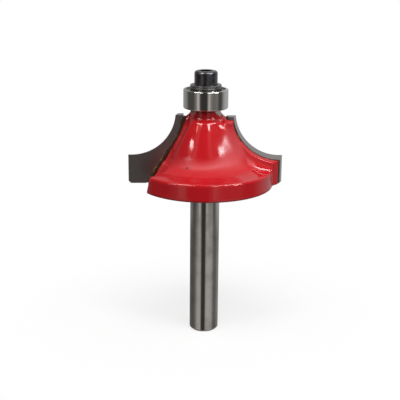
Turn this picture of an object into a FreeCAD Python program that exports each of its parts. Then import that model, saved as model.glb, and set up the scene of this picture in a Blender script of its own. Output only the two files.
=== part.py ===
import FreeCAD, Part
import math
import os

# Two-flute cove router bit with a ball bearing pilot, in millimetres.
# The origin is the centre of the shank's free end, and +Z runs up the axis to the screw.
# The rake face of the first blade lies in the XZ plane, on the +X side, and looks along +Y.

# Shank and guard disc
shank_d = 6.35
shank_length = 33.5
shank_chamfer = 0.45
disc_d = 29.1
disc_rim_height = 3.7
disc_edge = 0.22
disc_root = 0.6

# Bell of steel that carries the blades
bell_foot_d = 15.5
bell_foot_height = 4.75
bell_foot_round = 1.1
bell_top_d = 8.3
bell_bulge = 0.45
neck_d = 6.4
seat_height = 16.79
neck_length = 1.89
shoulder_drop = 2.84

# Cutting profile: foot and lip above the underside of the disc, top below the bearing's seat
flutes = 2
cutting_d = 33.0
profile_foot = 0.23
profile_drop = 1.62
cove_radius = 9.5
lip_height = 6.55
lip_width = 0.65
corner_chamfer = 0.5
relief_angle = 15.0

# Carbide tips and their braze
tip_thickness = 2.0
tip_width = 1.7
tip_foot_width = 3.8
tip_bend_angle = 34.0
braze_back = 0.1
braze_side = 0.35
seat_front = 1.2

# Steel wings behind the tips, and the gullets ahead of them
wing_inset = 0.1
foot_relief_angle = 6.0
crest_depth = 3.4
hollow_round = 2.1
hollow_start = 1.4
hollow_end = 3.2
flare_radius = 8.5
flare_reach = 11.6
flare_shift = 3.5
flare_azimuth = -15.0
heel_out = 14.35
heel_angle = 45.0
wing_neck_out = 4.5
wing_neck_angle = 45.0
gusset_d = 8.0
gusset_height = 0.75
gullet_radius = 6.0
gullet_slope = 27.3
gullet_axis_out = 13.0
gullet_axis_ahead = 3.3
gullet_mid_height = 8.0
facet_azimuth = -35.5
facet_tilt = 10.7
facet_drop = 1.44

# Ball bearing
bearing_od = 9.525
bearing_bore = 4.7625
bearing_height = 4.0
ring_edge = 0.22
inner_land_d = 6.0
outer_land_d = 8.24
ball_d = 1.5875
ball_count = 8
race_play = 0.02
cage_wall = 0.7
cage_foot = 0.16
cage_arm = 0.35
cage_play = 0.03
shield_thickness = 0.18
shield_recess = 0.2
shield_lip = 0.08
shield_play = 0.05

# Washers, screw and the spigot that they close
spigot_play = 0.006
spigot_drop = 0.2
spigot_chamfer = 0.2
dust_washer_d = 6.8
dust_washer_thickness = 0.48
screw_washer_d = 6.64
screw_washer_thickness = 0.45
washer_play = 0.1
washer_edge = 0.08
head_d = 4.9
head_height = 2.9
head_round = 0.55
hex_sides = 6
hex_across_flats = 2.5
hex_depth = 1.6
hex_point_angle = 30.0
thread_d = 3.0
thread_length = 10.0
thread_play = 0.02
hole_spare = 0.8

# Worked out from the sizes above
disc_z = shank_length
disc_r = disc_d / 2
seat_z = disc_z + seat_height
bearing_mid_z = seat_z + bearing_height / 2
bearing_top_z = seat_z + bearing_height
spigot_top_z = bearing_top_z - spigot_drop
spigot_r = bearing_bore / 2 - spigot_play
dust_washer_top_z = bearing_top_z + dust_washer_thickness
head_z = dust_washer_top_z + screw_washer_thickness
head_top_z = head_z + head_height
cutting_r = cutting_d / 2
cove_x = cutting_r - lip_width
cove_z = disc_z + lip_height + cove_radius
top_z = seat_z - profile_drop
foot_z = disc_z + profile_foot
relief = math.tan(math.radians(relief_angle))
foot_relief = math.tan(math.radians(foot_relief_angle))
hollow_turn = math.asin((hollow_end - hollow_start) / hollow_round)
hollow_depth = crest_depth + hollow_round * (1 - math.cos(hollow_turn))
pitch_r = (bearing_bore + bearing_od) / 4
race_r = ball_d / 2 + race_play
reach = 4 * disc_r
same_place = 0.001


def vec(x, z, y=0.0):
    return FreeCAD.Vector(x, y, z)


def outline(start, steps, y=0.0):
    """A closed wire at one y. A step is a point, or a pair of points for an arc: middle, then end."""
    edges = []
    here = start
    for step in steps + [start]:
        if isinstance(step[0], tuple):
            middle, end = step
            edges.append(Part.Arc(vec(*here, y), vec(*middle, y), vec(*end, y)).toShape())
        else:
            end = step
            edges.append(Part.LineSegment(vec(*here, y), vec(*end, y)).toShape())
        here = end
    return Part.Wire(edges)


def turned(start, steps):
    face = Part.Face(outline(start, steps))
    return face.revolve(vec(0, 0), vec(0, 1), 360)


def on_circle(centre, radius, angle):
    """A point of a circle, with its angle in degrees from +X towards +Z."""
    turn = math.radians(angle)
    return (centre[0] + radius * math.cos(turn), centre[1] + radius * math.sin(turn))


def rim_edges(solid, rim_r, rim_z):
    """The circular edges of a turned solid at one radius and height."""
    edges = []
    for edge in solid.Edges:
        curve = edge.Curve
        if not isinstance(curve, Part.Circle):
            continue
        if abs(curve.Radius - rim_r) < same_place and abs(curve.Center.z - rim_z) < same_place:
            edges.append(edge)
    return edges


def spun(solid, turn):
    copy = solid.copy()
    copy.rotate(vec(0, 0), vec(0, 1), turn)
    return copy


def flat(point):
    return (point.x, point.z)


def broken(before, corner, after, run):
    """Steps that break the corner between two straight runs of an outline."""
    tip = vec(*corner)
    back = (vec(*before) - tip).normalize()
    on = (vec(*after) - tip).normalize()
    return [flat(tip + back * run), flat(tip + on * run)]


def bell_side(rim, foot, shoulder):
    """Steps up the bulged side of the bell, with a round where it meets the top of the disc."""
    low, high = vec(*foot), vec(*shoulder)
    chord = high - low
    bulge_r = (chord.Length ** 2 / 4 + bell_bulge ** 2) / (2 * bell_bulge)
    outward = vec(chord.z, -chord.x).normalize()
    centre = (low + high) / 2 - outward * (bulge_r - bell_bulge)
    along = (vec(*rim) - low).normalize()
    above = vec(-along.z, along.x)
    start = low + above * bell_foot_round - centre
    span = start.dot(along)
    run = math.sqrt(span ** 2 - start.dot(start) + (bulge_r + bell_foot_round) ** 2) - span
    round_centre = centre + start + along * run
    touch = centre + (round_centre - centre).normalize() * bulge_r
    root = round_centre - above * bell_foot_round
    halfway = ((touch - round_centre) + (root - round_centre)).normalize()
    bulged = ((touch - centre) + (high - centre)).normalize()
    return [
        flat(root),
        (flat(round_centre + halfway * bell_foot_round), flat(touch)),
        (flat(centre + bulged * bulge_r), shoulder),
    ]


def turned_blank():
    """Shank, disc, bell, neck and spigot, as they would leave a lathe."""
    shank_r = shank_d / 2
    rim_z = disc_z + disc_rim_height
    root = (shank_r, disc_z)
    low_rim = (disc_r, disc_z)
    rim = (disc_r, rim_z)
    foot = (bell_foot_d / 2, disc_z + bell_foot_height)
    shoulder = (bell_top_d / 2, seat_z - shoulder_drop)
    steps = [(shank_r - shank_chamfer, 0), (shank_r, shank_chamfer)]
    steps += broken((shank_r, 0), root, low_rim, disc_root)
    steps += broken(root, low_rim, rim, disc_edge)
    steps += broken(low_rim, rim, foot, disc_edge)
    steps += bell_side(rim, foot, shoulder)
    return turned((0, 0), steps + [
        (neck_d / 2, seat_z - neck_length),
        (neck_d / 2, seat_z),
        (spigot_r, seat_z),
        (spigot_r, spigot_top_z - spigot_chamfer),
        (spigot_r - spigot_chamfer, spigot_top_z),
        (0, spigot_top_z),
    ])


def cove_arc(inset, top):
    """Start, middle and end of the cove at one inset, from its top to the lip."""
    centre = (cove_x, cove_z)
    radius = cove_radius + inset
    start_angle = 180 + math.degrees(math.asin((cove_z - top) / radius))
    return [on_circle(centre, radius, angle) for angle in (start_angle, (start_angle + 270) / 2, 270)]


def cutting_steps(inset, lift, top):
    """Steps from the top of the cove down to the foot, drawn in by the inset and lifted at the foot."""
    start, middle, end = cove_arc(inset, top)
    outer = cutting_r - inset
    foot = foot_z + lift
    return start, [
        (middle, end),
        (outer, end[1]),
        (outer, foot + corner_chamfer),
        (outer - corner_chamfer, foot),
    ]


def tip_back_edge(gap):
    """Steps up the inner edge of a tip, from its foot to its top, moved in by a gap."""
    centre = (cove_x, cove_z)
    radius = cove_radius + tip_width + gap
    bend = on_circle(centre, radius, 180 + tip_bend_angle)
    high = 180 + math.degrees(math.asin((cove_z - top_z) / radius))
    middle = on_circle(centre, radius, (180 + tip_bend_angle + high) / 2)
    slope = math.radians(tip_bend_angle)
    inner = (cutting_r - tip_foot_width - gap / math.cos(slope), foot_z)
    return inner, [bend, (middle, on_circle(centre, radius, high))]


def carbide_tip():
    """A profiled tip with its rake face at y = 0 and every cutting edge relieved behind."""
    faces = []
    for depth in (0.0, tip_thickness):
        start, steps = cutting_steps(depth * relief, depth * relief, top_z)
        inner, back_steps = tip_back_edge(0.0)
        faces.append(outline(start, steps + [(inner[0], foot_z + depth * relief)] + back_steps, -depth))
    return Part.makeLoft(faces, True, True)


def seat_prism(gap, depth, front):
    """Everything outside the line that a tip's inner edge follows, between two depths."""
    inner, back_steps = tip_back_edge(gap)
    far = 2 * cutting_r
    low = (inner[0] + (inner[0] - back_steps[0][0]), foot_z - (back_steps[0][1] - foot_z))
    high = back_steps[1][1]
    steps = back_steps + [(high[0], top_z + gusset_height), (far, top_z + gusset_height), (far, low[1]), low]
    face = Part.Face(outline(inner, steps, -depth))
    return face.extrude(vec(0, 0, depth + front))


def braze_seam():
    """Solder behind a tip and along its inner edge, inside the wing's outline."""
    sheet = seat_prism(braze_side, tip_thickness + braze_back, 0.0)
    return sheet.common(wing()).cut(seat_prism(0.0, tip_thickness, 0.0))


def wing_blank():
    """The steel behind a tip before its back is milled, relieved like the tip but a little further in."""
    faces = []
    for depth in (0.0, hollow_depth):
        inset = wing_inset + depth * relief
        top = top_z - inset
        lift = wing_inset + depth * foot_relief
        start, steps = cutting_steps(inset, lift, top)
        faces.append(outline(start, steps + [(0, foot_z + lift), (0, top)], -depth))
    return Part.makeLoft(faces, True, True)


def hollow_cutter():
    """A form cutter turned about the cove's axis: a flat crest, then the hollow below it."""
    inner = cove_radius / 2
    bend = cove_radius + hollow_start
    edge = cove_radius + hollow_end
    on_arc = (bend + hollow_round * math.sin(hollow_turn / 2),
              crest_depth + hollow_round * (1 - math.cos(hollow_turn / 2)))
    section = Part.Face(outline((inner, crest_depth), [
        (bend, crest_depth),
        (on_arc, (edge, hollow_depth)),
        (edge, reach),
        (inner, reach),
    ]))
    section.rotate(vec(0, 0), vec(1, 0), 90)
    cutter = section.revolve(vec(0, 0), vec(0, 0, 1), 360)
    cutter.translate(vec(cove_x, cove_z))
    return cutter


def flare():
    """Thick root below a wing's back: a concave turning off the bit's axis, which fades into the bell."""
    low = disc_z + disc_rim_height
    centre = (flare_reach, low + flare_radius)
    solid = turned((0, low - disc_rim_height / 2), [
        (flare_reach, low - disc_rim_height / 2),
        (flare_reach, low),
        (on_circle(centre, flare_radius, 225), (flare_reach - flare_radius, centre[1])),
        (0, top_z),
    ])
    turn = math.radians(flare_azimuth)
    solid.translate(vec(flare_shift * math.cos(turn), 0, flare_shift * math.sin(turn)))
    behind_rake = Part.makeBox(2 * reach, reach, reach, vec(-reach, 0, -reach))
    return solid.common(Part.makeCylinder(disc_r - disc_edge, seat_z)).common(behind_rake)


def corner_block(out, angle, side):
    """A block whose face stands upright through the wing's crest at one distance out."""
    block = Part.makeBox(reach, reach, reach, vec(0 if side > 0 else -reach, 0, -reach / 2))
    block.rotate(vec(0, 0), vec(0, 1), -side * angle)
    block.translate(vec(out, 0, -crest_depth))
    return block


def wing():
    """One wing with its milled back, its root and the flare at its top."""
    beside_neck = Part.makeBox(reach, reach, reach, vec(wing_neck_out - reach, 0, -reach - crest_depth))
    plate = wing_blank()
    plate = plate.cut(corner_block(heel_out, heel_angle, 1))
    plate = plate.cut(corner_block(wing_neck_out, wing_neck_angle, -1))
    plate = plate.cut(beside_neck).fuse(flare())
    return plate.cut(hollow_cutter()).fuse(gusset())


def gusset():
    """The cone that ties the top of a wing to the neck, beside its tip, and sinks into the wing's relieved top."""
    low = top_z - wing_inset
    sunk = 2 * tip_thickness * relief
    cone = Part.makeCone(gusset_d / 2, neck_d / 2, gusset_height, vec(0, low))
    cone = cone.fuse(Part.makeCylinder(gusset_d / 2, sunk, vec(0, low - sunk)))
    return cone.common(Part.makeBox(gusset_d, tip_thickness, sunk + gusset_height, vec(0, low - sunk, -tip_thickness)))


def gullet():
    """The round-bottomed channel ahead of a blade, which stops at its rake plane."""
    slope = math.radians(gullet_slope)
    down = vec(math.sin(slope), -math.cos(slope))
    middle = vec(gullet_axis_out, disc_z + gullet_mid_height, gullet_axis_ahead)
    channel = Part.makeCylinder(gullet_radius, 2 * reach, middle - down * reach, down)
    ahead = Part.makeBox(2 * reach, reach, seat_z, vec(-reach, 0, 0))
    return channel.common(ahead)


def ground_facet():
    """A flat that the grinding wheel leaves on the neck behind the top of a tip."""
    turn = math.radians(facet_azimuth)
    tilt = math.radians(facet_tilt)
    normal = FreeCAD.Vector(math.cos(turn) * math.cos(tilt), math.sin(turn) * math.cos(tilt), math.sin(tilt))
    foot = FreeCAD.Vector(math.cos(turn) * neck_d / 2, math.sin(turn) * neck_d / 2, seat_z - facet_drop)
    block = Part.makeBox(neck_d, neck_d, neck_d, vec(-neck_d / 2, 0, -neck_d / 2))
    block.Placement = FreeCAD.Placement(foot, FreeCAD.Rotation(vec(0, 1), normal)).multiply(block.Placement)
    below_seat = Part.makeBox(2 * neck_d, 2 * neck_d, seat_z - top_z, vec(-neck_d, top_z, -neck_d))
    return block.common(below_seat)


def screw_hole():
    depth = thread_length - dust_washer_thickness - screw_washer_thickness + hole_spare
    return Part.makeCylinder(thread_d / 2 + thread_play, depth, vec(0, bearing_top_z - depth))


def cutter_body():
    body = turned_blank()
    for flute in range(flutes):
        turn = 360 * flute / flutes
        body = body.fuse(spun(wing(), turn))
    for flute in range(flutes):
        turn = 360 * flute / flutes
        body = body.cut(spun(gullet(), turn))
        body = body.cut(spun(seat_prism(braze_side, tip_thickness + braze_back, seat_front), turn))
        body = body.cut(spun(ground_facet(), turn))
    return body.cut(screw_hole()).removeSplitter()


def race_groove():
    return Part.makeTorus(pitch_r, race_r, vec(0, bearing_mid_z))


def ring_blank(inner_r, outer_r):
    ring = Part.makeCylinder(outer_r, bearing_height, vec(0, seat_z))
    return ring.cut(Part.makeCylinder(inner_r, bearing_height, vec(0, seat_z)))


def bearing_inner_ring():
    ring = ring_blank(bearing_bore / 2, inner_land_d / 2)
    return ring.cut(race_groove())


def shield_pair():
    """Lower and upper shield discs, set in below the ring's faces."""
    outer_r = outer_land_d / 2 + 2 * shield_lip
    inner_r = inner_land_d / 2 + shield_play
    low = seat_z + shield_recess
    high = bearing_top_z - shield_recess - shield_thickness
    shields = []
    for z in (low, high):
        disc = Part.makeCylinder(outer_r, shield_thickness, vec(0, z))
        shields.append(disc.cut(Part.makeCylinder(inner_r, shield_thickness, vec(0, z))))
    return shields


def bearing_outer_ring():
    """Outer ring with broken corners, a race groove and a lipped seat for each shield."""
    outer_r = bearing_od / 2
    ring = ring_blank(outer_land_d / 2, outer_r)
    corners = rim_edges(ring, outer_r, seat_z) + rim_edges(ring, outer_r, bearing_top_z)
    ring = ring.makeChamfer(ring_edge, corners).cut(race_groove())
    mouth = Part.makeCylinder(outer_land_d / 2 + shield_lip, shield_recess, vec(0, seat_z))
    far_mouth = Part.makeCylinder(outer_land_d / 2 + shield_lip, shield_recess, vec(0, bearing_top_z - shield_recess))
    ring = ring.cut(mouth).cut(far_mouth)
    for shield in shield_pair():
        ring = ring.cut(shield)
    return ring


def ball_places():
    places = []
    for ball in range(ball_count):
        turn = 2 * math.pi * (ball + 0.5) / ball_count
        places.append(vec(pitch_r * math.cos(turn), bearing_mid_z, pitch_r * math.sin(turn)))
    return places


def bearing_cage():
    """Crown cage: a thin ring under the balls, with a pocket bored for each and arms between them."""
    pocket_r = ball_d / 2 + cage_play
    low = bearing_mid_z - pocket_r - cage_foot
    height = bearing_mid_z + cage_arm - low
    cage = Part.makeCylinder(pitch_r + cage_wall / 2, height, vec(0, low))
    cage = cage.cut(Part.makeCylinder(pitch_r - cage_wall / 2, height, vec(0, low)))
    for place in ball_places():
        outward = vec(place.x / pitch_r, 0, place.y / pitch_r)
        pocket = Part.makeCylinder(pocket_r, 2 * cage_wall, place - outward * cage_wall, outward)
        cage = cage.cut(pocket)
    return cage


def washer(diameter, thickness, z):
    """A washer with both outer edges broken."""
    hole_r = thread_d / 2 + washer_play
    outer_r = diameter / 2
    return turned((hole_r, z), [
        (outer_r - washer_edge, z),
        (outer_r, z + washer_edge),
        (outer_r, z + thickness - washer_edge),
        (outer_r - washer_edge, z + thickness),
        (hole_r, z + thickness),
    ])


def cap_screw():
    """Socket head cap screw, with its hex socket and the shank at the thread's full diameter."""
    tip_z = head_z - thread_length
    screw = Part.makeCylinder(head_d / 2, head_height, vec(0, head_z))
    screw = screw.makeFillet(head_round, rim_edges(screw, head_d / 2, head_top_z))
    screw = screw.fuse(Part.makeCylinder(thread_d / 2, thread_length, vec(0, tip_z))).removeSplitter()
    corner_r = hex_across_flats / 2 / math.cos(math.pi / hex_sides)
    corners = []
    for corner in range(hex_sides + 1):
        turn = 2 * math.pi * corner / hex_sides
        corners.append(vec(corner_r * math.cos(turn), head_top_z, corner_r * math.sin(turn)))
    socket = Part.Face(Part.makePolygon(corners)).extrude(vec(0, -hex_depth))
    drill_depth = corner_r * math.tan(math.radians(hex_point_angle))
    drill = Part.makeCone(0, hex_across_flats / 2, drill_depth, vec(0, head_top_z - hex_depth - drill_depth))
    return screw.cut(socket).cut(drill)


def pieces():
    """Every piece of the bit, by node name."""
    lower_shield, upper_shield = shield_pair()
    named = {
        "cutter_body": cutter_body(),
        "bearing_inner_ring": bearing_inner_ring(),
        "bearing_outer_ring": bearing_outer_ring(),
        "bearing_cage": bearing_cage(),
        "bearing_shield_lower": lower_shield,
        "bearing_shield_upper": upper_shield,
        "dust_washer": washer(dust_washer_d, dust_washer_thickness, bearing_top_z),
        "screw_washer": washer(screw_washer_d, screw_washer_thickness, dust_washer_top_z),
        "cap_screw": cap_screw(),
    }
    for flute in range(flutes):
        turn = 360 * flute / flutes
        named["carbide_tip_%d" % (flute + 1)] = spun(carbide_tip(), turn)
        named["braze_seam_%d" % (flute + 1)] = spun(braze_seam(), turn)
    for ball, place in enumerate(ball_places()):
        named["bearing_ball_%d" % (ball + 1)] = Part.makeSphere(ball_d / 2, place)
    return named


os.makedirs("parts", exist_ok=True)
for name, solid in pieces().items():
    print("%-22s solids %d valid %s volume %.3f" % (name, len(solid.Solids), solid.isValid(), solid.Volume))
    solid.exportStep("parts/%s.step" % name)
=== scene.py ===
import math

import bmesh
import bpy
import numpy as np
from mathutils import Matrix, Vector


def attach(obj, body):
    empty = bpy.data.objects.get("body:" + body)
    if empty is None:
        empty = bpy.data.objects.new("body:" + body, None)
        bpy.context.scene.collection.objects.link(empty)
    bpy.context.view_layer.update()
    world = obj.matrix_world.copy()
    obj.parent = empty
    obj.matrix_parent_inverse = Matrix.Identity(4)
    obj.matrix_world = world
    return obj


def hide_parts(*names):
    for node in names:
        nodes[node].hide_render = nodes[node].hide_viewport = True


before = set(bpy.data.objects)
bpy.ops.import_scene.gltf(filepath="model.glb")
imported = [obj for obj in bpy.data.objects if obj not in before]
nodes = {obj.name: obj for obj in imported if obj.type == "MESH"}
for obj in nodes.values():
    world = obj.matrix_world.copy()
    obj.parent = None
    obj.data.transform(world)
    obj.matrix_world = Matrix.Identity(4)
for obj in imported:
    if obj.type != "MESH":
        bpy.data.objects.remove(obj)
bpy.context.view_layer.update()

# The cutter body is one steel turning with its shank, guard disc, bell and two wings. It is
# milled, then sprayed in thick glossy red enamel down to the underside of the disc, so every
# edge of it is rounded by the paint. A flat ground beside each tip lays the steel bare again.


def node(tree, kind, links=None, **settings):
    """Adds a node: settings are its properties, and links maps an input to a value or to another socket."""
    made = tree.nodes.new(kind)
    for key, value in settings.items():
        setattr(made, key, value)
    for key, value in (links or {}).items():
        if isinstance(value, bpy.types.NodeSocket):
            tree.links.new(value, made.inputs[key])
        else:
            made.inputs[key].default_value = value
    return made


def maths(tree, operation, *values):
    """One Math node on values or sockets."""
    return node(tree, "ShaderNodeMath", dict(enumerate(values)), operation=operation).outputs[0]


def blended(tree, factor, first, second):
    """Mix of two colours by a factor; each may be a socket."""
    return node(tree, "ShaderNodeMix", {0: factor, 6: first, 7: second}, data_type="RGBA").outputs[2]


def ramped(tree, value, low, high, to_low=0.0, to_high=1.0):
    """Maps a value from one range to another, and stops at its ends."""
    ends = {"Value": value, "From Min": low, "From Max": high, "To Min": to_low, "To Max": to_high}
    return node(tree, "ShaderNodeMapRange", ends).outputs[0]


def noise(tree, place, scale, detail=2.0, stretch=None):
    """Noise with so many lumps to the metre. Stretch squeezes the place first."""
    if stretch:
        place = node(tree, "ShaderNodeMapping", {"Vector": place, "Scale": stretch}).outputs[0]
    return node(tree, "ShaderNodeTexNoise", {"Vector": place, "Scale": scale, "Detail": detail}).outputs[0]


def relief(tree, shader, height, strength, depth):
    """A Bump node on the shader's normal."""
    bump = node(tree, "ShaderNodeBump", {"Height": height, "Strength": strength, "Distance": depth})
    tree.links.new(bump.outputs[0], shader.inputs["Normal"])


def material(name, **fixed):
    """A new material, its tree, its Principled shader and the Object coordinates it reads."""
    made = bpy.data.materials.new(name)
    made.use_nodes = True
    tree = made.node_tree
    shader = tree.nodes["Principled BSDF"]
    for key, value in fixed.items():
        shader.inputs[key.replace("_", " ")].default_value = value
    place = tree.nodes.new("ShaderNodeTexCoord").outputs["Object"]
    return made, tree, shader, place


def turned_marks():
    """The lines that turning or grinding leaves, as a group: they run round the axis, so a one-way noise
    along Z makes them, and a second noise breaks them up."""
    group = bpy.data.node_groups.new("turned_marks", "ShaderNodeTree")
    group.interface.new_socket("Place", in_out="INPUT", socket_type="NodeSocketVector")
    spacing = group.interface.new_socket("Lines per mm", in_out="INPUT", socket_type="NodeSocketFloat")
    spacing.default_value = 10.0
    group.interface.new_socket("Height", in_out="OUTPUT", socket_type="NodeSocketFloat")
    group.interface.new_socket("Streak", in_out="OUTPUT", socket_type="NodeSocketFloat")
    given, put = group.nodes.new("NodeGroupInput"), group.nodes.new("NodeGroupOutput")
    along = node(group, "ShaderNodeSeparateXYZ", {0: given.outputs[0]}).outputs[2]
    metres = maths(group, "MULTIPLY", given.outputs[1], 1000.0)
    lines = node(
        group,
        "ShaderNodeTexNoise",
        {"W": maths(group, "MULTIPLY", along, metres), "Scale": 1.0, "Detail": 3.0, "Roughness": 0.6},
        noise_dimensions="1D",
    ).outputs[0]
    broken_up = maths(group, "MULTIPLY", lines, noise(group, given.outputs[0], 900.0, 4.0))
    group.links.new(lines, put.inputs[0])
    group.links.new(broken_up, put.inputs[1])
    return group


marks_group = turned_marks()


def marks(tree, place, per_mm):
    """The turned marks in one material: their height and their streaks."""
    made = node(tree, "ShaderNodeGroup", node_tree=marks_group)
    tree.links.new(place, made.inputs["Place"])
    made.inputs["Lines per mm"].default_value = per_mm
    return made.outputs["Height"], made.outputs["Streak"]


def dress(name, finish):
    """Gives a node of the construction its finish."""
    mesh = nodes[name].data
    if not mesh.materials:
        mesh.materials.append(finish)
    for slot in range(len(mesh.materials)):
        mesh.materials[slot] = finish


def shown(piece_mesh, name, finish, body):
    """Puts a finished mesh in the scene as a smooth piece that rides on a body."""
    piece_mesh.polygons.foreach_set("use_smooth", [True] * len(piece_mesh.polygons))
    piece_mesh.materials.clear()
    piece_mesh.materials.append(finish)
    piece = bpy.data.objects.new(name, piece_mesh)
    bpy.context.scene.collection.objects.link(piece)
    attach(piece, body)
    return piece


def surface(name, grid, closed_along=False):
    """A closed mesh from a grid of points (along, round, xyz) that is closed round, and along too where that is
    asked. Points that meet at a pole are merged."""
    along, around, _ = grid.shape
    rows = np.arange(along if closed_along else along - 1)
    i, j = np.meshgrid(rows, np.arange(around), indexing="ij")
    i2, j2 = (i + 1) % along, (j + 1) % around
    quads = np.stack([i * around + j, i2 * around + j, i2 * around + j2, i * around + j2], -1)
    mesh = bpy.data.meshes.new(name)
    mesh.from_pydata(grid.reshape(-1, 3).tolist(), [], quads.reshape(-1, 4).tolist())
    shell = bmesh.new()
    shell.from_mesh(mesh)
    bmesh.ops.remove_doubles(shell, verts=shell.verts, dist=1e-8)
    bmesh.ops.recalc_face_normals(shell, faces=shell.faces)
    shell.to_mesh(mesh)
    shell.free()
    return mesh


def eased(points, edges, weight, passes, outward=None):
    """Each pass moves every point towards the mean of its neighbours by its weight. Where outward normals are
    given, it moves along them alone and only outwards, so inner corners fill and nothing wears away."""
    moving = weight[:, 0] > 0
    edges = edges[moving[edges].any(1)]
    first, second = edges.T
    neighbours = np.maximum(np.bincount(edges.ravel(), minlength=len(points)), 1)[:, None]
    for _ in range(passes):
        total = np.stack(
            [
                np.bincount(first, line[second], len(points)) + np.bincount(second, line[first], len(points))
                for line in points.T
            ],
            1,
        )
        move = total / neighbours - points
        if outward is not None:
            move = outward * np.maximum(np.sum(move * outward, 1, keepdims=True), 0)
        points = points + weight * move
    return points


# The body's own sizes, in millimetres and degrees
cove_x, cove_z = 15.85, 49.55
seat_z = 50.29
facet_azimuth, facet_tilt = -35.5, 10.7
neck_radius, facet_drop = 3.2, 1.44
bell_foot, bell_top = (7.8, 38.3), (4.4, 47.4)
gullet_radius, gullet_slope = 6.0, 27.3
gullet_out, gullet_ahead, gullet_height = 13.0, 3.3, 41.5
paint_build_up = 0.03


def behind_blade(points):
    """The points in millimetres, with those ahead of the blades turned half round, so that one blade is on +X
    with its back towards -Y, and how far each is from the axis of that blade's cove."""
    x, y, z = points.T * 1000
    side = np.where(y > 0, -1.0, 1.0)
    return x * side, y * side, z, np.hypot(x * side - cove_x, z - cove_z)


def rounding(points):
    """How freely an edge is rounded by the paint, from 0 to 1: three tenths on the disc's rim and where the tip
    was masked, which is over 4 mm out, up to 12 mm from the cove's axis and up to 3 mm behind the blade. Each
    limit fades over 0.4 mm."""
    x, y, _, from_cove = behind_blade(points)
    rim, masked_from, masked_back, masked_reach = 12.0, 4.0, 3.0, 12.0
    masked = np.min([x - masked_from, y + masked_back, masked_reach - from_cove], axis=0)
    on_rim = np.hypot(x, y) - rim
    return 1 - 0.7 * np.clip(np.maximum(masked, on_rim) / 0.4, 0, 1)[:, None]


def pooling(points):
    """Where paint pools, from 0 to 1: round the foot of the bell and beside the root of each wing, but not in
    the gullets or out on the milled back of a wing. Each limit fades over half a millimetre."""
    x, y, z, from_cove = behind_blade(points)
    out = np.hypot(x, y)
    bell_radius = np.interp(z, [bell_foot[1], bell_top[1]], [bell_foot[0], bell_top[0]])
    pool_width, milled_reach, beside_gullet = 2.2, 12.8, 0.2
    near_bell = bell_radius + pool_width - out
    off_back = np.where(x > 0, np.maximum(from_cove - milled_reach, near_bell), 1)
    lean = math.radians(gullet_slope)
    along = np.array([math.sin(lean), 0, -math.cos(lean)])
    from_axis = np.stack([-x - gullet_out, -y - gullet_ahead, z - gullet_height], 1)
    from_axis -= np.outer(from_axis @ along, along)
    off_gullet = np.linalg.norm(from_axis, axis=1) - (gullet_radius + beside_gullet)
    widest, lowest, highest = 13.5, 37.3, 47.6
    limits = [off_back, off_gullet, widest - out, z - lowest, highest - z]
    return np.clip(np.min(limits, axis=0) / 0.5, 0, 1)[:, None]


def paint_coat(source, above, cube, passes, pooled, build_up):
    """The skin of a solid above one height, sampled on cubes of one size. A few even passes round its edges as
    paint does, many more fill its inner corners, a tenth as many level the fill, and the build-up moves it all
    outwards. Sizes are in metres."""
    shell = bmesh.new()
    shell.from_mesh(source)
    bmesh.ops.remove_doubles(shell, verts=shell.verts, dist=1e-7)
    everything = shell.verts[:] + shell.edges[:] + shell.faces[:]
    level = {"plane_co": (0, 0, above), "plane_no": (0, 0, -1)}
    cut = bmesh.ops.bisect_plane(shell, geom=everything, clear_outer=True, **level)
    rim = [edge for edge in cut["geom_cut"] if isinstance(edge, bmesh.types.BMEdge)]
    bmesh.ops.triangle_fill(shell, use_beauty=True, use_dissolve=False, edges=rim)
    mesh = bpy.data.meshes.new("paint_blank")
    shell.to_mesh(mesh)
    shell.free()
    blank = bpy.data.objects.new("paint_blank", mesh)
    bpy.context.scene.collection.objects.link(blank)
    cubes = blank.modifiers.new("cubes", "REMESH")
    cubes.mode = "VOXEL"
    cubes.voxel_size = cube
    coat = bpy.data.meshes.new_from_object(blank.evaluated_get(bpy.context.evaluated_depsgraph_get()))
    bpy.data.objects.remove(blank)
    points, normals = np.zeros((2, len(coat.vertices), 3))
    edges = np.zeros((len(coat.edges), 2), int)
    coat.vertices.foreach_get("co", points.ravel())
    coat.edges.foreach_get("vertices", edges.ravel())
    points = eased(points, edges, 0.5 * rounding(points), passes)
    coat.vertices.foreach_set("co", points.ravel())
    coat.vertices.foreach_get("normal", normals.ravel())
    pool = 0.5 * pooling(points)
    points = eased(points, edges, pool, pooled, normals)
    points = eased(points, edges, pool, pooled // 10)
    coat.vertices.foreach_set("co", (points + build_up * normals).ravel())
    return coat


enamel, tree, shader, place = material("red_enamel", IOR=1.5)
apart = node(tree, "ShaderNodeSeparateXYZ", {0: place})
height = apart.outputs[2]

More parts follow.
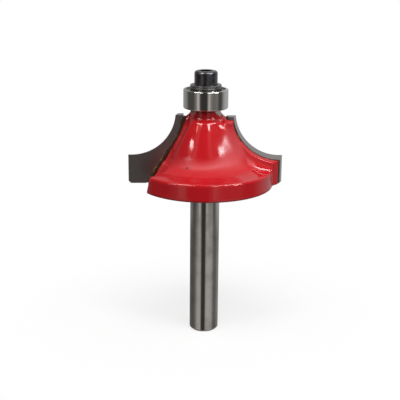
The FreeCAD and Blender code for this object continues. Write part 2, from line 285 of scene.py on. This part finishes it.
# Bare steel: the last 0.05 mm under the bearing, and the ground facet beside each tip, as far
# as a slanting line where the paint begins again.
unpainted_depth, slant_fall, slant_start = 0.05, 0.9, 0.05143
bare = maths(tree, "GREATER_THAN", height, (seat_z - unpainted_depth) / 1000)
aside = maths(tree, "ABSOLUTE", apart.outputs[0])
slant = maths(tree, "MULTIPLY_ADD", aside, slant_fall, height)
past_slant = maths(tree, "GREATER_THAN", slant, slant_start)
corner = maths(tree, "MULTIPLY", past_slant, maths(tree, "LESS_THAN", aside, neck_radius / 1000))
tilt = math.radians(facet_tilt)
facet_out = (neck_radius * math.cos(tilt) + (seat_z - facet_drop) * math.sin(tilt)) / 1000
for azimuth in (facet_azimuth, facet_azimuth + 180):
    turn = math.radians(azimuth)
    facing = (math.cos(turn) * math.cos(tilt), math.sin(turn) * math.cos(tilt), math.sin(tilt))
    out = node(tree, "ShaderNodeVectorMath", {0: place, 1: facing}, operation="DOT_PRODUCT").outputs["Value"]
    ground = maths(tree, "GREATER_THAN", out, facet_out - paint_build_up / 1000)
    bare = maths(tree, "MAXIMUM", bare, maths(tree, "MULTIPLY", ground, corner))
painted = maths(tree, "SUBTRACT", 1.0, bare)
_, line_streak = marks(tree, place, per_mm=9.0)
steel = blended(tree, line_streak, (0.40, 0.395, 0.385, 1), (0.56, 0.55, 0.535, 1))

# The enamel has a few pits, in a tenth of the cells, and the largest is in front at the foot of
# the bell. Each pit is coloured near-black as painted shade inside it.
cells_per_metre, pit_in_cell, pitted_share = 330.0, 0.07, 0.1
cells = node(tree, "ShaderNodeTexVoronoi", {"Vector": place, "Scale": cells_per_metre})
chosen = node(tree, "ShaderNodeSeparateColor", {0: cells.outputs["Color"]}).outputs[0]
pit_size = maths(tree, "MULTIPLY", maths(tree, "GREATER_THAN", chosen, 1 - pitted_share), pit_in_cell)
pits = maths(tree, "LESS_THAN", cells.outputs["Distance"], pit_size)
worst_place, worst_radius = (-0.0040, -0.0072, 0.0389), 0.00026
from_worst = node(tree, "ShaderNodeVectorMath", {0: place, 1: worst_place}, operation="DISTANCE")
pits = maths(tree, "MAXIMUM", pits, maths(tree, "LESS_THAN", from_worst.outputs["Value"], worst_radius))
red_with_painted_pit_shade = blended(tree, noise(tree, place, 160.0, 3.0), (0.50, 0.009, 0.014, 1), (0.60, 0.013, 0.020, 1))
# The near-black colour of the pits is painted shade.
red_with_painted_pit_shade = blended(tree, pits, red_with_painted_pit_shade, (0.05, 0.006, 0.006, 1))
tree.links.new(blended(tree, bare, red_with_painted_pit_shade, steel), shader.inputs["Base Color"])
tree.links.new(bare, shader.inputs["Metallic"])

# Dry spray leaves the paint dull round the bell: at its foot, and on the disc and the wings as
# far as 11 mm out. It is glossy towards the rim and on the bell's own cone, all over which
# radius and slope times height add up to the same.
flat_place = node(tree, "ShaderNodeCombineXYZ", {0: apart.outputs[0], 1: apart.outputs[1]}).outputs[0]
from_axis = node(tree, "ShaderNodeVectorMath", {0: flat_place}, operation="LENGTH").outputs["Value"]
bell_slope, on_cone, off_cone = 0.3736, 0.0223, 0.0231
foot_from, foot_full, foot_width = 0.0415, 0.0395, 0.0008
glossy_radius, dull_radius = 0.0116, 0.0106
dull_gain, bare_gain = 0.45, 0.2
at_foot = ramped(tree, height, foot_from, foot_full, 0.0, foot_width)
cone = maths(tree, "ADD", maths(tree, "MULTIPLY_ADD", height, bell_slope, from_axis), at_foot)
off_bell = ramped(tree, cone, on_cone, off_cone)
inside_rim = ramped(tree, from_axis, glossy_radius, dull_radius)
dusted = maths(tree, "MINIMUM", off_bell, inside_rim)
rough = ramped(tree, noise(tree, place, 900.0, 3.0), 0.3, 0.7, 0.05, 0.10)
rough = maths(tree, "MULTIPLY_ADD", dusted, dull_gain, rough)
tree.links.new(maths(tree, "MULTIPLY_ADD", bare, bare_gain, rough), shader.inputs["Roughness"])
peel = maths(tree, "SUBTRACT", noise(tree, place, 420.0), maths(tree, "MULTIPLY", pits, 2.0))
relief(tree, shader, maths(tree, "MULTIPLY", peel, painted), strength=0.10, depth=0.0002)

body_mesh = nodes["cutter_body"].data
coat = paint_coat(
    body_mesh, above=0.0325, cube=0.00017, passes=10, pooled=900, build_up=paint_build_up / 1000
)
body_shown = shown(coat, "enamelled_body", enamel, "cutter")
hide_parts("cutter_body")

# The shank is the same turning left bare: centreless ground to the collet's size, with a
# chamfered end. Handling and the grinding wheel leave it with fine rings and a few dull marks.
shank_steel, tree, shader, place = material("ground_shank_steel", Metallic=1.0)
line_height, line_streak = marks(tree, place, per_mm=12.0)
dull = ramped(tree, noise(tree, place, 260.0, 4.0), 0.45, 0.7)
steel = blended(tree, line_streak, (0.50, 0.495, 0.485, 1), (0.66, 0.65, 0.635, 1))
tree.links.new(blended(tree, dull, steel, (0.42, 0.41, 0.40, 1)), shader.inputs["Base Color"])
rough = maths(tree, "MULTIPLY_ADD", line_streak, 0.16, 0.08)
tree.links.new(maths(tree, "MULTIPLY_ADD", dull, 0.08, rough), shader.inputs["Roughness"])
relief(tree, shader, line_height, strength=0.03, depth=0.00005)


def turned_profile(profile, around):
    """A profile of radius and height in millimetres, carried round the axis at equal angles."""
    radius, lift = np.array(profile).T / 1000
    angle = np.linspace(0, 2 * np.pi, around, endpoint=False)
    x, y = np.outer(radius, np.cos(angle)), np.outer(radius, np.sin(angle))
    return np.stack([x, y, np.outer(lift, np.ones(around))], -1)


shank_radius, shank_top = 3.175, 32.5
chamfer = [(0, 0), (2.66, 0), (2.72, 0.005), (2.755, 0.03), (3.145, 0.42), (3.17, 0.46), (shank_radius, 0.53)]
plain = [(shank_radius, z) for z in np.linspace(1.0, shank_top, 32)]
under_paint = [(3.12, 32.62), (0, 32.62)]
shank_mesh = surface("bare_shank", turned_profile(chamfer + plain + under_paint, around=160))
shank = shown(shank_mesh, "bare_shank", shank_steel, "cutter")
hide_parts("cutter_body")

# The two cutting tips are slips of tungsten carbide, 2 mm thick, ground to the cove on a
# diamond wheel. Ground carbide is a dark brown-grey mirror with very fine wheel marks.
carbide, tree, shader, place = material("ground_carbide", Metallic=1.0)
wheel = noise(tree, place, 1.0, 3.0, stretch=(9000.0, 9000.0, 600.0))
tint = noise(tree, place, 150.0)
carbide_colour = blended(tree, tint, (0.37, 0.355, 0.34, 1), (0.40, 0.34, 0.35, 1))
tree.links.new(carbide_colour, shader.inputs["Base Color"])
tree.links.new(maths(tree, "MULTIPLY_ADD", wheel, 0.16, 0.24), shader.inputs["Roughness"])
relief(tree, shader, wheel, strength=0.06, depth=0.00005)
for tip in ("carbide_tip_1", "carbide_tip_2"):
    dress(tip, carbide)

# Each tip is brazed into its seat with brass or silver solder. It shows as a brown and gold
# line beside the tip, and as an uneven bead that ran out on the rake side before the paint.
# Its near-black brown is partly painted shade: from 47 mm up it has no gold, and there it
# stands for the shaded band between tip and paint.
braze_and_shade_finish, tree, shader, place = material("braze_metal_and_painted_shade")
stain = noise(tree, place, 520.0, 4.0)
height = node(tree, "ShaderNodeSeparateXYZ", {0: place}).outputs[2]
# The gold fades out from 43 to 47 mm up, so higher up the braze is all dark brown: painted shade as well as
# braze.
flux_fading_to_painted_shade = maths(tree, "MULTIPLY", ramped(tree, stain, 0.54, 0.68), ramped(tree, height, 0.047, 0.043))
braze_and_painted_shade_colour = blended(tree, flux_fading_to_painted_shade, (0.040, 0.020, 0.010, 1), (0.50, 0.26, 0.07, 1))
tree.links.new(braze_and_painted_shade_colour, shader.inputs["Base Color"])
tree.links.new(maths(tree, "MULTIPLY", flux_fading_to_painted_shade, 0.85), shader.inputs["Metallic"])
tree.links.new(maths(tree, "MULTIPLY_ADD", stain, 0.4, 0.22), shader.inputs["Roughness"])
relief(tree, shader, stain, strength=0.35, depth=0.0001)
for seam in ("braze_seam_1", "braze_seam_2"):
    dress(seam, braze_and_shade_finish)


def bead_and_shade_band(turn, seed):
    """A half-round run of solder on the rake plane, in millimetres: an ellipse carried along the seam from its
    foot to its bend and, bowed inwards, on to the tip's top. It is wider and higher where three sine waves add
    up, and tapers off at both ends. Past the bend it grows to about twice its width, so that its dark braze
    fills the shaded band between tip and paint as painted shade."""
    t = np.linspace(0, 1, 120)
    foot, bend, top = np.array([12.35, 33.95]), np.array([6.30, 43.25]), np.array([4.42, 48.45])
    bow, straight_share, sunk = np.array([-0.35, -0.1]), 0.68, 0.06
    low = foot + (bend - foot) * np.clip(t / straight_share, 0, 1)[:, None]
    rise = np.clip((t - straight_share) / (1 - straight_share), 0, 1)[:, None]
    line = low + (top - bend) * rise + bow * np.sin(np.pi * rise)
    wave = 0.5 * np.sin(23 * t + seed) + 0.3 * np.sin(51 * t + 2 * seed) + 0.2 * np.sin(97 * t + 3 * seed)
    end = np.clip(np.minimum(t, 1 - t) * 14, 0, 1) ** 0.5
    half_width = (0.50 - 0.12 * t + 0.45 * rise[:, 0] + 0.10 * wave) * end
    proud = (0.16 - 0.06 * t + 0.035 * wave) * end
    run = np.gradient(line, axis=0)
    run /= np.linalg.norm(run, axis=1)[:, None]
    across = np.stack([-run[:, 1], run[:, 0]], 1)
    a = np.linspace(0, 2 * np.pi, 20, endpoint=False)
    x = line[:, :1] + across[:, :1] * half_width[:, None] * np.cos(a)
    z = line[:, 1:] + across[:, 1:] * half_width[:, None] * np.cos(a)
    y = np.where(np.sin(a) > 0, proud[:, None] * np.sin(a), sunk * end[:, None] * np.sin(a))
    cosine, sine = math.cos(math.radians(turn)), math.sin(math.radians(turn))
    return np.stack([x * cosine - y * sine, x * sine + y * cosine, z], -1) / 1000


# Each bead is real solder, and near the top it is also a dark band of painted shade.
for flute, (turn, seed) in enumerate(((0, 0.7), (180, 2.9))):
    name = "braze_bead_and_painted_shade_%d" % (flute + 1)
    shown(surface(name, bead_and_shade_band(turn, seed)), name, braze_and_shade_finish, "cutter")

# The pilot is a shielded ball bearing: hardened rings ground to a mirror, pressed dull
# shields set in below the faces, and between them balls held by a crown cage.
bearing_steel, tree, shader, place = material("ground_bearing_steel", Metallic=1.0)
line_height, line_streak = marks(tree, place, per_mm=14.0)
steel = blended(tree, line_streak, (0.54, 0.535, 0.52, 1), (0.70, 0.69, 0.67, 1))
tree.links.new(steel, shader.inputs["Base Color"])
tree.links.new(maths(tree, "MULTIPLY_ADD", line_streak, 0.10, 0.02), shader.inputs["Roughness"])
relief(tree, shader, line_height, strength=0.03, depth=0.00005)
for name in nodes:
    if name.startswith("bearing_"):
        dress(name, bearing_steel)

# The outer ring runs along the wood, so its corners are ground round. Each end has a lipped
# mouth and a step where a shield is pressed in, and the race for the balls is between them.


def ring_section():
    """Half section of the outer ring as radius and height in millimetres: the upper half is a quarter round, the
    steps of the mouth and half of the race's arc, and the lower half mirrors it."""
    middle, half_width, outer, land, corner = 52.29, 2.0, 4.7625, 4.12, 0.22
    mouth, shield_seat, lip_depth, seat_depth = land + 0.08, land + 0.16, 0.2, 0.38
    bend = np.radians(np.linspace(0, 90, 9))
    upper = [(outer - corner + corner * math.cos(a), half_width - corner + corner * math.sin(a)) for a in bend]
    upper += [(mouth, half_width), (mouth, half_width - lip_depth)]
    upper += [(shield_seat, half_width - lip_depth), (shield_seat, half_width - seat_depth)]
    upper += [(land, half_width - seat_depth)]
    race, pitch = 0.81375, 3.571875
    start = math.acos((land - pitch) / race)
    upper += [(pitch + race * math.cos(a), race * math.sin(a)) for a in np.linspace(start, 0, 9)]
    lower = [(r, -z) for r, z in upper[-2::-1]]
    return [(r, middle + z) for r, z in upper + lower]


ring = surface("ground_outer_ring", turned_profile(ring_section(), around=200), closed_along=True)
ring_shown = shown(ring, "ground_outer_ring", bearing_steel, "bearing_ring")
ring.set_sharp_from_angle(angle=math.radians(35))
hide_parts("bearing_outer_ring")

# The two shields are pressed from thin sheet, which leaves them dull, and they turn with the
# outer ring.
shield_steel, tree, shader, place = material("pressed_shield", Metallic=1.0)
dull = noise(tree, place, 1500.0, 4.0)
shield_colour = blended(tree, dull, (0.10, 0.095, 0.09, 1), (0.22, 0.21, 0.20, 1))
tree.links.new(shield_colour, shader.inputs["Base Color"])
tree.links.new(maths(tree, "MULTIPLY_ADD", dull, 0.25, 0.25), shader.inputs["Roughness"])
for name in ("bearing_shield_lower", "bearing_shield_upper"):
    dress(name, shield_steel)

# A wide dust washer and a smaller one spread the screw's load on the bearing's inner ring.
# They are punched from steel sheet, and their faces are dull while the edges catch the light.
washer_steel, tree, shader, place = material("punched_washer", Metallic=1.0)
dull = noise(tree, place, 1100.0, 4.0)
washer_colour = blended(tree, dull, (0.12, 0.12, 0.118, 1), (0.30, 0.295, 0.29, 1))
tree.links.new(washer_colour, shader.inputs["Base Color"])
tree.links.new(maths(tree, "MULTIPLY_ADD", dull, 0.25, 0.2), shader.inputs["Roughness"])
for name in ("dust_washer", "screw_washer"):
    dress(name, washer_steel)

# The screw is an M3 socket head cap screw, blackened in hot oxide and slightly oily, so its
# rounded head keeps only soft highlights.
black_oxide, tree, shader, place = material("black_oxide_screw", Metallic=1.0)
dull = noise(tree, place, 1300.0, 5.0)
oxide_colour = blended(tree, dull, (0.070, 0.068, 0.076, 1), (0.16, 0.155, 0.17, 1))
tree.links.new(oxide_colour, shader.inputs["Base Color"])
tree.links.new(maths(tree, "MULTIPLY_ADD", dull, 0.25, 0.16), shader.inputs["Roughness"])
relief(tree, shader, dull, strength=0.08, depth=0.0001)
dress("cap_screw", black_oxide)

# The studio is a pale floor under the shank's end in front of a white backdrop. The floor looks
# white to the camera and keeps the bit's shadow, which fades out 50 mm from the shank.
floor_mesh = bpy.data.meshes.new("floor")
floor_mesh.from_pydata([(-3, -3, 0), (3, -3, 0), (3, 3, 0), (-3, 3, 0)], [], [(0, 1, 2, 3)])
floor = bpy.data.objects.new("floor", floor_mesh)
bpy.context.scene.collection.objects.link(floor)
floor.visible_glossy = False
pale, tree, shader, place = material("pale_floor", Roughness=0.9)
ray = tree.nodes.new("ShaderNodeLightPath")
pale_colour = blended(tree, ray.outputs["Is Camera Ray"], (0.08, 0.08, 0.08, 1), (1, 1, 1, 1))
tree.links.new(pale_colour, shader.inputs["Base Color"])
white = node(tree, "ShaderNodeEmission", {"Color": (1, 1, 1, 1), "Strength": 1.0})
from_shank = node(tree, "ShaderNodeVectorMath", {0: place}, operation="LENGTH").outputs["Value"]
away = ramped(tree, from_shank, 0.015, 0.05)
cover = maths(tree, "MULTIPLY_ADD", away, 0.25, 0.75)
seen_white = maths(tree, "MULTIPLY", ray.outputs["Is Camera Ray"], cover)
seen = node(tree, "ShaderNodeMixShader", {0: seen_white, 1: shader.outputs[0], 2: white.outputs[0]})
tree.links.new(seen.outputs[0], tree.nodes["Material Output"].inputs["Surface"])
floor_mesh.materials.append(pale)

world = bpy.data.worlds.new("studio")
bpy.context.scene.world = world
world.use_nodes = True
tree = world.node_tree
ray = tree.nodes.new("ShaderNodeLightPath")
mirrored = maths(tree, "MAXIMUM", ray.outputs["Is Glossy Ray"], ray.outputs["Is Transmission Ray"])
backdrop = maths(tree, "MAXIMUM", ray.outputs["Is Camera Ray"], mirrored)
fill_light = 0.08
strength = maths(tree, "MULTIPLY_ADD", backdrop, 1 - fill_light, fill_light)
tree.links.new(strength, tree.nodes["Background"].inputs["Strength"])
tree.nodes["Background"].inputs["Color"].default_value = (1, 1, 1, 1)

# Dark and light cards stand round the bit, and only polished surfaces show them. Azimuth 0 is
# behind the camera and 90 is at its right, and each card has the level that a mirror shows.
# A second row stands lower, where the shank shows it.
view_turn = math.radians(-1.2)
cards = [
    (-180, 0.40), (-128, 0.38), (-112, 0.28), (-98, 0.10), (-66, 0.09), (-56, 0.20), (-48, 0.30), (-41, 0.70),
    (-34, 0.55), (-29, 0.12), (-20, 0.05), (4, 0.05), (10, 0.22), (16, 0.68), (23, 0.42), (30, 0.26), (42, 0.20),
    (60, 0.26), (70, 0.10), (86, 0.10), (98, 0.33), (112, 0.52), (145, 0.56), (180, 0.62),
]
low_cards = [
    (-180, 0.22), (-112, 0.12), (-94, 0.14), (-74, 0.22), (-62, 0.46), (-34, 0.56), (-28, 0.40), (-22, 0.06),
    (5, 0.05), (12, 0.48), (30, 0.58), (62, 0.50), (76, 0.22), (104, 0.16), (122, 0.32), (180, 0.36),
]
tent_radius, tent_middle = 700, 40
tilts = np.radians(np.linspace(-90, 90, 25))
tent_profile = np.stack([tent_radius * np.cos(tilts), tent_middle + tent_radius * np.sin(tilts)], 1)
tent_mesh = surface("card_tent", turned_profile(tent_profile, around=72))
tent_paint, tree, _, place = material("cards")
apart = node(tree, "ShaderNodeSeparateXYZ", {0: place})
turned_x = maths(tree, "MULTIPLY", apart.outputs[0], math.cos(view_turn))
across = maths(tree, "MULTIPLY_ADD", apart.outputs[1], math.sin(view_turn), turned_x)
turned_y = maths(tree, "MULTIPLY", apart.outputs[1], -math.cos(view_turn))
towards = maths(tree, "MULTIPLY_ADD", apart.outputs[0], math.sin(view_turn), turned_y)
share = maths(tree, "MULTIPLY_ADD", maths(tree, "ARCTAN2", across, towards), 1 / (2 * math.pi), 0.5)


def row_of_cards(tree, place_round, row):
    """A colour for each share of a turn, from cards of azimuth and level; the ones in front are a little warm."""
    ramp = node(tree, "ShaderNodeValToRGB", {0: place_round})
    while len(ramp.color_ramp.elements) < len(row):
        ramp.color_ramp.elements.new(0.5)
    for element, (angle, level) in zip(ramp.color_ramp.elements, row):
        element.position = (angle + 180) / 360
        warmth = 1.0 if angle > 90 or angle < -100 else 0.9
        element.color = (level, level * (0.5 + warmth / 2), level * warmth, 1)
    return ramp.outputs[0]


is_low = ramped(tree, apart.outputs[2], -0.16, -0.20)
both_rows = blended(tree, is_low, row_of_cards(tree, share, cards), row_of_cards(tree, share, low_cards))
glow = node(tree, "ShaderNodeEmission", {"Color": both_rows, "Strength": 1.0})
tree.links.new(glow.outputs[0], tree.nodes["Material Output"].inputs["Surface"])
tent_mesh.materials.append(tent_paint)
tent = bpy.data.objects.new("card_tent", tent_mesh)
bpy.context.scene.collection.objects.link(tent)
tent.visible_camera = False
tent.visible_diffuse = False
tent.visible_shadow = False
tent.visible_transmission = False

# Two wide soft boxes, one above the camera and one at its right, give the light and aren't
# mirrored. The small ones leave bright spots on the enamel, and the long ones are there only
# for the streaks that they leave in its milled hollows.


def soft_box(name, azimuth, elevation, wide, high, level, colour, mirrored=True, lighting=True):
    """A rectangular lamp half a metre off that faces the bit. Its width and height are given as the degrees they
    take up, and its level is how bright it looks in a mirror. Polished surfaces show it where it is mirrored,
    and it lights plain colours where it is lighting."""
    distance, aim = 0.5, Vector((0, 0, 0.043))
    lamp = bpy.data.lights.new(name, "AREA")
    lamp.shape = "RECTANGLE"
    lamp.size, lamp.size_y = (2 * distance * math.tan(math.radians(angle / 2)) for angle in (wide, high))
    lamp.energy = level * math.pi * lamp.size * lamp.size_y
    lamp.color = colour
    turn, lift = math.radians(azimuth) + view_turn, math.radians(elevation)
    out = Vector((math.sin(turn) * math.cos(lift), -math.cos(turn) * math.cos(lift), math.sin(lift)))
    holder = bpy.data.objects.new(name, lamp)
    bpy.context.scene.collection.objects.link(holder)
    holder.location = out * distance + aim
    holder.rotation_mode = "QUATERNION"
    holder.rotation_quaternion = out.to_track_quat("Z", "Y")
    holder.visible_glossy = mirrored
    holder.visible_diffuse = lighting


plain_white = (1.0, 1.0, 1.0)
soft_box("key_box", 0, 64, 40, 28, 6.8, plain_white, mirrored=False)
soft_box("side_box", 50, 40, 30, 24, 2.3, plain_white, mirrored=False)
soft_box("left_long_box", -52, 56, 30, 12, 13.0, plain_white, lighting=False)
soft_box("right_long_box", 50, 56, 44, 12, 13.0, plain_white, lighting=False)
soft_box("left_box", -59, 27, 12, 6, 22.0, (1.0, 0.97, 0.97))
soft_box("right_box", 58, 21, 16, 6, 26.0, (1.0, 0.97, 1.0))
soft_box("left_warm_box", -52, 43, 5, 6, 9.0, (1.0, 0.55, 0.35))
soft_box("right_warm_box", 24, 47, 5, 6, 9.0, (1.0, 0.60, 0.45))

# The camera stands where the photograph was taken from, a little above the bearing.
camera_data = bpy.data.cameras.new("camera")
camera_data.lens = 81.0
camera_data.sensor_width = 36.0
camera_data.clip_start, camera_data.clip_end = 0.01, 10
camera = bpy.data.objects.new("camera", camera_data)
bpy.context.scene.collection.objects.link(camera)
bpy.context.scene.camera = camera
spin = Matrix.Rotation(view_turn, 4, "Z")
off_axis = -0.001053
eye = spin @ Vector((off_axis, -0.18785, 0.08559))
target = spin @ Vector((off_axis, 0.0, 0.02991))
camera.location = eye
camera.rotation_mode = "QUATERNION"
roll = Matrix.Rotation(math.radians(0.478), 4, "Z").to_quaternion()
camera.rotation_quaternion = (target - eye).to_track_quat("-Z", "Y") @ roll

bpy.context.scene.view_settings.view_transform = "Standard"
